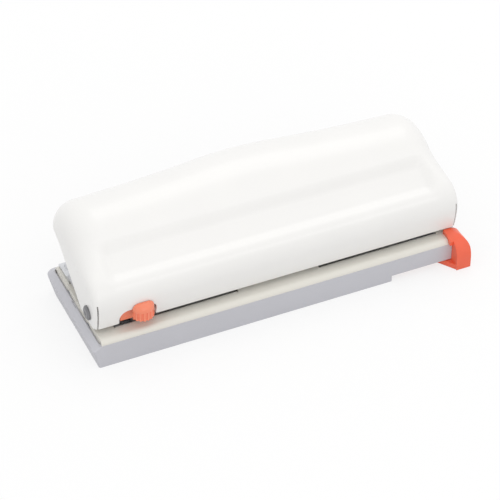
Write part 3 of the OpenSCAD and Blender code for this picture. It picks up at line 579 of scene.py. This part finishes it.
WHITE = (1, 1, 1, 1)
FLOOR_BOUNCE = (0.62, 0.62, 0.62, 1)
FLOOR_SHOWN = (0.98, 0.98, 0.98, 1)
LAMP_SIZE = 0.6
LAMP_COLOUR = (1.0, 0.99, 0.97)
LIT_POINT = (0, 0, 0.03)


def light_paths(tree):
    """1 for rays that show the background: camera, glossy and transmission rays."""
    path = tree.nodes.new("ShaderNodeLightPath")
    first = tree.nodes.new("ShaderNodeMath")
    first.operation = "MAXIMUM"
    tree.links.new(path.outputs["Is Camera Ray"], first.inputs[0])
    tree.links.new(path.outputs["Is Glossy Ray"], first.inputs[1])
    second = tree.nodes.new("ShaderNodeMath")
    second.operation = "MAXIMUM"
    tree.links.new(first.outputs[0], second.inputs[0])
    tree.links.new(path.outputs["Is Transmission Ray"], second.inputs[1])
    return second.outputs[0]


def build_floor(size=6.0, shown=0.75):
    """A white floor with the object's shadow. The light that it throws back is that of a pale grey one."""
    half = size / 2
    corners = [(-half, -half, 0), (half, -half, 0), (half, half, 0), (-half, half, 0)]
    floor = new_object("floor", corners, [(0, 1, 2, 3)])
    mat = bpy.data.materials.new("floor")
    mat.use_nodes = True
    tree = mat.node_tree
    tree.nodes.clear()
    new, link = tree.nodes.new, tree.links.new
    out = new("ShaderNodeOutputMaterial")
    pale = new("ShaderNodeBsdfDiffuse")
    pale.inputs["Color"].default_value = FLOOR_BOUNCE
    white = new("ShaderNodeBsdfDiffuse")
    white.inputs["Color"].default_value = FLOOR_SHOWN
    glow = new("ShaderNodeEmission")
    glow.inputs["Color"].default_value = WHITE
    seen = new("ShaderNodeMixShader")
    seen.inputs["Fac"].default_value = shown
    link(white.outputs[0], seen.inputs[1])
    link(glow.outputs[0], seen.inputs[2])
    mix = new("ShaderNodeMixShader")
    link(light_paths(tree), mix.inputs["Fac"])
    link(pale.outputs[0], mix.inputs[1])
    link(seen.outputs[0], mix.inputs[2])
    link(mix.outputs[0], out.inputs["Surface"])
    dress(floor, mat)


def build_world(level=0.92):
    """Even light from all sides at the given level, in front of a white background."""
    world = bpy.data.worlds.new("studio")
    bpy.context.scene.world = world
    world.use_nodes = True
    tree = world.node_tree
    tree.nodes.clear()
    out = tree.nodes.new("ShaderNodeOutputWorld")
    mix = tree.nodes.new("ShaderNodeMixShader")
    fill = tree.nodes.new("ShaderNodeBackground")
    fill.inputs["Color"].default_value = WHITE
    fill.inputs["Strength"].default_value = level
    shown = tree.nodes.new("ShaderNodeBackground")
    shown.inputs["Color"].default_value = WHITE
    shown.inputs["Strength"].default_value = 1.0
    tree.links.new(light_paths(tree), mix.inputs["Fac"])
    tree.links.new(fill.outputs[0], mix.inputs[1])
    tree.links.new(shown.outputs[0], mix.inputs[2])
    tree.links.new(mix.outputs[0], out.inputs["Surface"])


def area_light(name, place, watts):
    """A soft square lamp that faces the object."""
    data = bpy.data.lights.new(name, "AREA")
    data.size = LAMP_SIZE
    data.energy = watts
    data.color = LAMP_COLOUR
    obj = bpy.data.objects.new(name, data)
    obj.location = place
    obj.rotation_euler = (Vector(LIT_POINT) - Vector(place)).to_track_quat("-Z", "Y").to_euler()
    bpy.context.scene.collection.objects.link(obj)


def build_camera():
    """The photograph's view: target in metres, turn and rise, and focal length from its pixel scale."""
    target = Vector((0.0016, -0.0028, 0.025))
    turn, rise = math.radians(-24.56), math.radians(38.44)
    distance, image, sensor = 1.0, 500, 36.0
    pixels_per_metre = 2198.9
    centre_px = (263.4, 233.6)
    back = Vector((math.sin(turn) * math.cos(rise), -math.cos(turn) * math.cos(rise), math.sin(rise)))
    data = bpy.data.cameras.new("photo")
    data.sensor_width = sensor
    data.lens = pixels_per_metre * distance * sensor / image
    data.shift_x = (image / 2 - centre_px[0]) / image
    data.shift_y = (centre_px[1] - image / 2) / image
    data.clip_start, data.clip_end = 0.05, 20
    obj = bpy.data.objects.new("photo", data)
    obj.location = target + distance * back
    obj.rotation_euler = (-back).to_track_quat("-Z", "Y").to_euler()
    bpy.context.scene.collection.objects.link(obj)
    bpy.context.scene.camera = obj


build_floor()
build_world()
area_light("key", (0.35, 0.45, 0.95), 1.1)
area_light("front", (-0.1, -1.0, 0.38), 1.0)
build_camera()
bpy.context.scene.view_settings.view_transform = "Standard"
